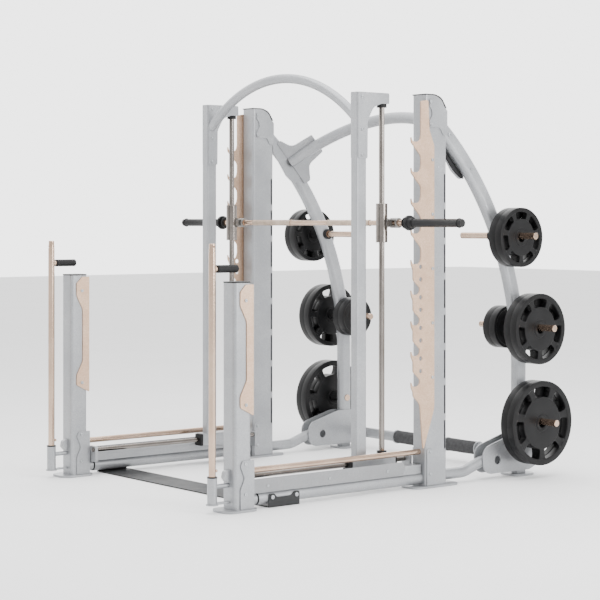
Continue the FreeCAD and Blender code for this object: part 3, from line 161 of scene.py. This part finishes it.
def make_knurl():
    """Knurled bar grip: a diamond relief of 1.6 mm pitch, drawn coarser so that it shows, cut in the
    plating. The piece's UV map holds the length along the bar and the length round it."""
    material = make_finish("knurled_nickel_bar", "A4917F", "CDBBAA", 0.9, (0.3, 0.42), grain=1.2,
                           height=0.02)
    tree = material.node_tree
    wrap = add_node(tree, "UVMap", uv_map="wrap")
    ridges = []
    for slant in (30, -30):
        turned = add_node(tree, "Mapping", {"Rotation": (0, 0, math.radians(slant))},
                          {"Vector": wrap.outputs["UV"]})
        ridges.append(add_node(tree, "TexWave", {"Scale": WAVE_LENGTH / KNURL_DRAWN},
                               {"Vector": turned.outputs["Vector"]}))
    diamonds = add_node(tree, "Math", {}, {0: ridges[0].outputs["Fac"], 1: ridges[1].outputs["Fac"]},
                        operation="MULTIPLY")
    bump = add_node(tree, "Bump", {"Distance": 0.5 * MM}, {"Height": diamonds.outputs["Value"]})
    tree.links.new(bump.outputs["Normal"], tree.nodes["Principled BSDF"].inputs["Normal"])
    return material


knurled_bar = make_knurl()

finish_of_slot = {
    "frame_paint": silver_coat, "cover_paint": shaded_silver_coat, "black_paint": black_coat,
    "catch_steel": catch_plating, "warm_rod": warm_x, "polished_steel": chrome_z, "bolt_steel": bolt_zinc,
    "bearing_steel": bearing_turned, "black_rubber": handle_rubber, "plate_rubber": plate_rubber,
    "grip_foam": grip_foam, "black_plastic": nylon,
}
# Nodes whose polishing lines or look differ from the rest of their slot.
finish_of_node = {
    "guide_rods": chrome_y, "side_rods": warm_y, "lock_pole_left": warm_z, "lock_pole_right": warm_z,
    "carriages": chrome_z, "bar_saddles": bearing_turned,
}
for part in frame["record"]["subparts"]:
    cad_mesh = frame["nodes"][part["node"]].data
    cad_mesh.materials.clear()
    cad_mesh.materials.append(finish_of_node.get(part["node"], finish_of_slot[part["material_slot"]]))


# ---- Ways of working ----
def start():
    """Leaves edit mode and lets go of everything."""
    if bpy.context.mode != "OBJECT":
        bpy.ops.object.mode_set(mode="OBJECT")
    bpy.ops.object.select_all(action="DESELECT")


def cylinder(radius, length, centre, axis="X", vertices=64):
    """A new cylinder along an axis, left in edit mode with nothing selected."""
    start()
    turn = {"X": (0, QUARTER, 0), "Y": (QUARTER, 0, 0), "Z": (0, 0, 0)}[axis]
    bpy.ops.mesh.primitive_cylinder_add(vertices=vertices, radius=radius, depth=length, location=centre,
                                        rotation=turn)
    bpy.ops.object.transform_apply(location=False, rotation=True, scale=False)
    bpy.ops.object.mode_set(mode="EDIT")
    bpy.ops.mesh.select_all(action="DESELECT")
    return bpy.context.active_object


def pick_faces(test):
    """Selects the faces whose centre, measured from the object's own, and normal pass the test."""
    bpy.ops.mesh.select_mode(type="FACE")
    bpy.ops.mesh.select_all(action="DESELECT")
    shape = bmesh.from_edit_mesh(bpy.context.edit_object.data)
    for face in shape.faces:
        if test(face.calc_center_median(), face.normal):
            face.select_set(True)
    bmesh.update_edit_mesh(bpy.context.edit_object.data)


def pick_edges(test):
    """Selects the edges whose middle and direction pass the test."""
    bpy.ops.mesh.select_mode(type="EDGE")
    bpy.ops.mesh.select_all(action="DESELECT")
    shape = bmesh.from_edit_mesh(bpy.context.edit_object.data)
    for edge in shape.edges:
        first, last = (vertex.co for vertex in edge.verts)
        if test((first + last) / 2, last - first):
            edge.select_set(True)
    shape.select_flush_mode()
    bmesh.update_edit_mesh(bpy.context.edit_object.data)


def apply_modifier(kind, **settings):
    """Adds a modifier to the active piece and applies it."""
    modifier = bpy.context.active_object.modifiers.new(kind.title(), kind)
    for name, value in settings.items():
        setattr(modifier, name, value)
    bpy.ops.object.modifier_apply(modifier=modifier.name)


def round_edges(width, segments=2, angle=35):
    """Leaves edit mode and rounds every edge sharper than the angle."""
    bpy.ops.object.mode_set(mode="OBJECT")
    apply_modifier("BEVEL", width=width, segments=segments, limit_method="ANGLE",
                   angle_limit=math.radians(angle))


def finish(name, body, slot_name, material, *nodes):
    """Puts the active piece's place in its mesh, and gives it its name, material, body and CAD nodes."""
    piece = bpy.context.active_object
    if bpy.context.mode != "OBJECT":
        bpy.ops.object.mode_set(mode="OBJECT")
    bpy.ops.object.transform_apply(location=True, rotation=True, scale=True)
    bpy.ops.object.shade_smooth_by_angle(angle=math.radians(38))
    piece.name = name
    piece.data.materials.clear()
    piece.data.materials.append(material)
    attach(piece, body)
    if nodes:
        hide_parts(*nodes)
    return piece


def outward_again():
    """Turns every face outwards after a mirror."""
    bpy.ops.object.mode_set(mode="EDIT")
    bpy.ops.mesh.select_all(action="SELECT")
    bpy.ops.mesh.normals_make_consistent(inside=False)
    bpy.ops.object.mode_set(mode="OBJECT")


def mirrored_copy(piece):
    """A copy of a piece on the other side of the machine, with its own mesh, as the active object."""
    start()
    twin = piece.copy()
    twin.data = piece.data.copy()
    twin.parent = None
    for key in list(twin.keys()):
        del twin[key]
    bpy.context.scene.collection.objects.link(twin)
    twin.matrix_world = Matrix.Scale(-1, 4, Vector((1, 0, 0)))
    twin.select_set(True)
    bpy.context.view_layer.objects.active = twin
    bpy.ops.object.transform_apply(location=True, rotation=True, scale=True)
    outward_again()
    return twin


def right_half(node):
    """The lowest and highest corner of the part of a CAD node on the +X side."""
    places = [vertex.co for vertex in frame["nodes"][node].data.vertices if vertex.co.x > 0]
    return (Vector([min(place[axis] for place in places) for axis in range(3)]),
            Vector([max(place[axis] for place in places) for axis in range(3)]))


def cut_across(axis, places):
    """Cuts the piece in edit mode into bands, with planes across an axis at the given places."""
    normal = [float(name == axis) for name in "XYZ"]
    for place in places:
        bpy.ops.mesh.select_all(action="SELECT")
        bpy.ops.mesh.bisect(plane_co=[place * part for part in normal], plane_no=normal)
    bpy.ops.mesh.select_all(action="DESELECT")


def raise_bands(axis, bands, height):
    """Raises, or with a negative height sinks, bands (low, high) of a round piece, across its axis."""
    at = "XYZ".index(axis)
    origin = bpy.context.edit_object.location[at]
    for low, high in bands:
        pick_faces(lambda centre, normal: abs(normal[at]) < 0.5 and low < centre[at] + origin < high)
        bpy.ops.mesh.extrude_region_shrink_fatten(TRANSFORM_OT_shrink_fatten={"value": -height})


def middle_and_size(node):
    """The middle and the size of a CAD node."""
    low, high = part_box(node)
    return (low + high) / 2, high - low


# ---- Camera, light and floor ----
camera_data = bpy.data.cameras.new("camera")
camera_data.lens = 104.94
camera_data.sensor_width = 36
camera_data.shift_y = -80 / 600
camera_data.clip_end = 100
camera = bpy.data.objects.new("camera", camera_data)
camera.location = (7.393, -5.906, 1.375)
camera.rotation_euler = (QUARTER, 0, math.radians(51.4))
bpy.context.scene.collection.objects.link(camera)
bpy.context.scene.camera = camera


def softbox(name, place, target, size, power):
    """A large soft lamp that points at a target."""
    data = bpy.data.lights.new(name, "AREA")
    data.shape = "RECTANGLE"
    data.size, data.size_y = size
    data.energy = power
    lamp = bpy.data.objects.new(name, data)
    lamp.location = place
    lamp.rotation_euler = (Vector(target) - Vector(place)).to_track_quat("-Z", "Y").to_euler()
    bpy.context.scene.collection.objects.link(lamp)


softbox("overhead", (0.5, -0.5, 5.2), (0, 0, 0.8), (5.0, 5.0), 300)
softbox("front", (-2.5, -6.0, 3.0), (0, 0, 1.0), (3.0, 3.0), 70)
softbox("right", (6.5, 1.5, 2.6), (0, 0, 1.0), (2.5, 3.5), 330)
# The studio is white all round, and brightest at the lit backdrop behind the machine.
world = bpy.data.worlds.new("studio")
world.use_nodes = True
studio = world.node_tree
direction = add_node(studio, "TexCoord").outputs["Generated"]
toward_backdrop = add_node(studio, "VectorMath", {1: (-0.78, 0.62, 0.0)}, {0: direction},
                           operation="DOT_PRODUCT")
glow = add_node(studio, "MapRange", {"From Min": 0.0, "From Max": 0.8, "To Min": 1.2, "To Max": 3.6},
                {"Value": toward_backdrop.outputs["Value"]})
studio.links.new(glow.outputs["Result"], studio.nodes["Background"].inputs["Strength"])
studio.nodes["Background"].inputs["Color"].default_value = colour("FFFFFF")
bpy.context.scene.world = world

start()
bpy.ops.mesh.primitive_plane_add(size=60, location=(0, 0, -0.001))
floor = bpy.context.active_object
floor.name = "studio_floor"
floor.data.materials.append(make_finish("pale_studio_floor", "F6F6F6", "FBFBFB", 0.0, (0.8, 0.9), mottle=900,
                                        grain=20, height=0.02))


# ---- Weight plates ----
SEGMENTS = 112               # sixteen for each of a plate's seven hand slots
SLOTS = 7
SLOT_HALF = 6 * 360 / SEGMENTS
BORE = 25.4 * MM
HUB = 44 * MM
THICKNESS = 44 * MM


def weight_plate(radius, slots=True):
    """A plate at the origin, its axis along X: a wide flat rim, a slightly sunk ring with hand slots, and a
    flat middle with a raised hub, moulded in rubber."""
    plate = cylinder(radius, THICKNESS, (0, 0, 0), vertices=SEGMENTS)
    rim, ring, disc = 0.875 * radius, 0.605 * radius, HUB + 8 * MM
    pick_faces(lambda centre, normal: abs(normal.x) > 0.9)
    steps = [(radius, rim, 0), (rim, rim - 3 * MM, -3.5 * MM), (rim - 3 * MM, ring + 3 * MM, 0),
             (ring + 3 * MM, ring, 2 * MM), (ring, disc, 0), (disc, disc - 2 * MM, -1.5 * MM),
             (disc - 2 * MM, HUB, 0), (HUB, HUB - 2 * MM, 3 * MM), (HUB - 2 * MM, BORE + 6 * MM, 0),
             (BORE + 6 * MM, BORE + 4 * MM, -1 * MM), (BORE + 4 * MM, BORE, 0)]
    for outer, inner, depth in steps:
        bpy.ops.mesh.inset(thickness=outer - inner, depth=depth, use_boundary=True)
    bpy.ops.mesh.bridge_edge_loops()
    if slots:
        for slot in range(SLOTS):
            middle = 2 * math.pi * slot / SLOTS

            def in_slot(centre, normal):
                """Whether a face of the sunk ring lies in this slot."""
                away = math.hypot(centre.y, centre.z)
                turn = (math.atan2(centre.y, centre.z) - middle + math.pi) % (2 * math.pi) - math.pi
                in_ring = abs(normal.x) > 0.9 and ring + 3 * MM < away < rim - 3 * MM
                return in_ring and abs(turn) < math.radians(SLOT_HALF)

            pick_faces(in_slot)
            bpy.ops.mesh.bridge_edge_loops()

        def slot_corner(centre, along):
            """Whether an edge runs through the plate at the corner of a hand slot."""
            away = math.hypot(centre.y, centre.z)
            turn = math.degrees(math.atan2(centre.y, centre.z)) % (360 / SLOTS)
            at_end = abs(turn - SLOT_HALF) < 0.5 or abs(turn - 360 / SLOTS + SLOT_HALF) < 0.5
            return abs(along.x) > 0.02 and at_end and ring < away < rim

        pick_edges(slot_corner)
        bpy.ops.mesh.bevel(offset=0.075 * radius, segments=4, affect="EDGES")
    round_edges(2.5 * MM, 3, 30)
    bpy.ops.object.mode_set(mode="EDIT")
    bpy.ops.mesh.select_all(action="SELECT")
    bpy.ops.mesh.normals_make_consistent(inside=False)
    bpy.ops.object.mode_set(mode="OBJECT")
    return plate


def hang_plates(node, pattern):
    """Copies a plate twice onto a peg, side by side, as one piece that stands for the CAD pair."""
    middle, size = middle_and_size(node)
    pair = []
    start()
    away = math.copysign((size.x - THICKNESS) / 2, middle.x)
    for side, turn in ((1, 0), (-1, 9)):
        plate = pattern.copy()
        plate.data = pattern.data.copy()
        bpy.context.scene.collection.objects.link(plate)
        plate.location = (middle.x + side * away, middle.y, middle.z)
        plate.rotation_euler.x = math.radians(turn)
        plate.select_set(True)
        pair.append(plate)
    bpy.context.view_layer.objects.active = pair[0]
    bpy.ops.object.join()
    finish(node.replace("plates", "rubber_plates"), node, "plate_rubber", plate_rubber, node)


for level in ("upper", "middle", "lower", "inner"):
    diameter = middle_and_size("plates_" + level + "_right")[1].z
    pattern = weight_plate(diameter / 2, slots=level != "inner")
    for side, sign in SIDES:
        hang_plates("plates_" + level + "_" + side, pattern)
    bpy.data.objects.remove(pattern)

# ---- Foam grips on the cross tube ----
low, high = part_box("cross_grips")
GRIP_START = 94 * MM         # middle plane to each grip's inner end
TUBE_RADIUS = 30.4 * MM
SWELL = 0.5 * MM             # how far the foam's skin wanders in and out
grip_radius = (high.z - low.z) / 2 - 2 * SWELL
grip_length = high.x - GRIP_START
for side, sign in SIDES:
    centre = (sign * (GRIP_START + grip_length / 2), (low.y + high.y) / 2, (low.z + high.z) / 2)
    cylinder(grip_radius, grip_length, centre, vertices=48)
    pick_faces(lambda middle, normal: abs(normal.x) > 0.9)
    bpy.ops.mesh.inset(thickness=grip_radius - TUBE_RADIUS, use_boundary=True)
    bpy.ops.mesh.bridge_edge_loops()
    pick_faces(lambda middle, normal: abs(normal.x) < 0.1 and middle.yz.length > TUBE_RADIUS + 3 * MM)
    bpy.ops.mesh.subdivide(number_cuts=5)
    round_edges(5 * MM, 4, 50)
    grip_piece = bpy.context.active_object
    for vertex in grip_piece.data.vertices:
        reach = math.hypot(vertex.co.y, vertex.co.z)
        if reach > TUBE_RADIUS + 2 * MM:
            round_it = math.sin(3 * math.atan2(vertex.co.z, vertex.co.y))
            vertex.co.yz *= 1 + SWELL * math.sin(41 * vertex.co.x + 1.3) * round_it / reach
    finish("foam_grip_" + side, "frame", "grip_foam", grip_foam, "cross_grips")

# ---- Rubber handles on the lock poles ----
RIB_HEIGHT = 0.8 * MM
COLLAR_LENGTH = 6 * MM
for side, sign in SIDES:
    low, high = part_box("pole_handle_" + side)
    radius = (high.z - low.z) / 2
    cylinder(radius - RIB_HEIGHT, high.y - low.y, (low + high) / 2, axis="Y", vertices=48)
    ribs = [(low.y + (14 + 9 * step) * MM, low.y + (19 + 9 * step) * MM) for step in range(10)]
    cut_across("Y", [low.y + COLLAR_LENGTH] + [place for rib in ribs for place in rib])
    raise_bands("Y", ribs, RIB_HEIGHT)
    raise_bands("Y", [(low.y, low.y + COLLAR_LENGTH)], 2 * RIB_HEIGHT)
    pick_edges(lambda centre, along: abs(along.y) < 1e-5 and centre.y > (high.y - low.y) / 2 - 1 * MM)
    bpy.ops.mesh.bevel(offset=7 * MM, segments=5, affect="EDGES")
    round_edges(0.6 * MM, 2, 40)
    finish("ribbed_handle_" + side, "pole_" + side, "black_rubber", handle_rubber, "pole_handle_" + side)

# ---- Barbell sleeves with their end caps, and the knurled part of the bar ----
low, high = right_half("bar_sleeves")
radius = (high.z - low.z) / 2
cylinder(radius, high.x - low.x, (low + high) / 2, vertices=64)
grooves = [(low.x + 4 * MM, low.x + 7 * MM), (high.x - 24 * MM, high.x - 22.5 * MM)]
cut_across("X", [place for groove in grooves for place in groove])
raise_bands("X", grooves, -0.6 * MM)
pick_edges(lambda centre, along: abs(along.x) < 1e-5 and centre.x > (high.x - low.x) / 2 - 1 * MM)
bpy.ops.mesh.bevel(offset=4 * MM, segments=5, affect="EDGES")
pick_faces(lambda centre, normal: normal.x > 0.999)
bpy.ops.mesh.inset(thickness=4 * MM)
bpy.ops.mesh.inset(thickness=0.6 * MM, depth=-0.8 * MM)
round_edges(0.4 * MM, 2, 40)
sleeve = finish("plate_sleeve_right", "barbell", "black_plastic", nylon, "bar_sleeves")
mirrored_copy(sleeve)
finish("plate_sleeve_left", "barbell", "black_plastic", nylon, "bar_sleeves")

KNURL_MIDDLE = 330 * MM      # middle plane to the middle of each knurled part
KNURL_HALF = 168 * MM
low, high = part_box("bar")
bar_middle = Vector((0, (low.y + high.y) / 2, (low.z + high.z) / 2))
bar_radius = (high.z - low.z) / 2
for side, sign in SIDES:
    near = sign * KNURL_MIDDLE
    cylinder(bar_radius - 0.4 * MM, 340 * MM, bar_middle + Vector((near, 0, 0)), vertices=64)
    cut_across("X", [near - KNURL_HALF, near + KNURL_HALF])
    raise_bands("X", [(near - KNURL_HALF, near + KNURL_HALF)], 0.7 * MM)
    band = finish("knurled_grip_" + side, "barbell", "warm_rod", knurled_bar)
    wrap = band.data.uv_layers.new(name="wrap")
    for face in band.data.polygons:
        turn = math.atan2(face.center.z - bar_middle.z, face.center.y - bar_middle.y)
        for corner in face.loop_indices:
            place = band.data.vertices[band.data.loops[corner].vertex_index].co
            own = math.atan2(place.z - bar_middle.z, place.y - bar_middle.y)
            own += 2 * math.pi * round((turn - own) / (2 * math.pi))
            wrap.data[corner].uv = (place.x, own * bar_radius)


# ---- Weld beads ----
BEAD_RADIUS = 2.6 * MM
RIPPLE_PITCH = 5 * MM


def weld_bead(name, centre, size, corner):
    """A rippled bead round the foot of a rounded tube, painted over."""
    start()
    bpy.ops.mesh.primitive_plane_add(size=1, location=centre)
    seam = bpy.context.active_object
    seam.scale = (size[0], size[1], 1)
    bpy.ops.object.transform_apply(location=False, rotation=False, scale=True)
    bpy.ops.object.mode_set(mode="EDIT")
    bpy.ops.mesh.select_all(action="SELECT")
    bpy.ops.mesh.bevel(offset=corner, segments=8, affect="VERTICES")
    bpy.ops.mesh.delete(type="ONLY_FACE")
    pick_edges(lambda middle, along: along.length > 20 * MM)
    bpy.ops.mesh.subdivide(number_cuts=48)
    bpy.ops.object.mode_set(mode="OBJECT")
    bpy.ops.object.convert(target="CURVE")
    seam.data.bevel_depth = BEAD_RADIUS
    seam.data.bevel_resolution = 2
    bpy.ops.object.convert(target="MESH")
    for vertex in seam.data.vertices:
        ripple = math.sin((vertex.co.x + vertex.co.y) * 2 * math.pi / RIPPLE_PITCH)
        vertex.co.z += 0.35 * MM * ripple
    finish(name, "frame", "frame_paint", silver_coat)


for side, sign in SIDES:
    for post in ("front_post", "upright"):
        low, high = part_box(post + "_" + side)
        centre_x = (low.x + high.x) / 2
        upper = [vertex.co for vertex in frame["nodes"][post + "_" + side].data.vertices
                 if 0.3 < vertex.co.z < 0.9 * high.z]
        span = [max(place[axis] for place in upper) - min(place[axis] for place in upper) for axis in (0, 1)]
        middle_y = (max(place.y for place in upper) + min(place.y for place in upper)) / 2
        weld_bead(post + "_weld_" + side, (centre_x, middle_y, 12 * MM), span, 16 * MM)

# ---- Small screws on the uprights' outer faces ----
SCREW_HEIGHTS = (0.619, 1.129, 1.648)
SCREW_X = 785.3 * MM
SCREW_Y = 283 * MM
for side, sign in SIDES:
    screws = []
    for height in SCREW_HEIGHTS:
        cylinder(4.5 * MM, 3 * MM, (sign * SCREW_X, SCREW_Y, height), vertices=24)
        pick_faces(lambda centre, normal: normal.x * sign > 0.9)
        bpy.ops.mesh.inset(thickness=2.2 * MM)
        bpy.ops.mesh.inset(thickness=0.2 * MM, depth=-1.4 * MM)
        round_edges(0.7 * MM, 3, 40)
        screws.append(bpy.context.active_object)
    for screw in screws:
        screw.select_set(True)
    bpy.ops.object.join()
    finish("upright_screws_" + side, "frame", "bolt_steel", bolt_zinc)

# ---- Black rubber pads under the legs, on the outer faces of the arch's gussets ----
GUSSET_FACE = 704 * MM
PAD_REACH = 108 * MM
PAD_DEPTH = 28 * MM
PAD_THICKNESS = 7 * MM
PAD_LEAN = math.radians(42.1)
PAD_Y = 464.2 * MM
PAD_Z = 1674.8 * MM
cylinder(PAD_REACH, PAD_THICKNESS, (GUSSET_FACE + PAD_THICKNESS / 2, PAD_Y, PAD_Z), vertices=96)
bpy.ops.mesh.select_all(action="SELECT")
bpy.ops.transform.resize(value=(1, PAD_DEPTH / PAD_REACH, 1))
bpy.ops.mesh.bisect(plane_co=(0, PAD_Y, 0), plane_no=(0, 1, 0), use_fill=True, clear_outer=True)
round_edges(2 * MM, 3, 40)
bpy.context.active_object.rotation_euler.x = PAD_LEAN
pad = finish("gusset_pad_right", "frame", "black_rubber", handle_rubber)
mirrored_copy(pad)
finish("gusset_pad_left", "frame", "black_rubber", handle_rubber)
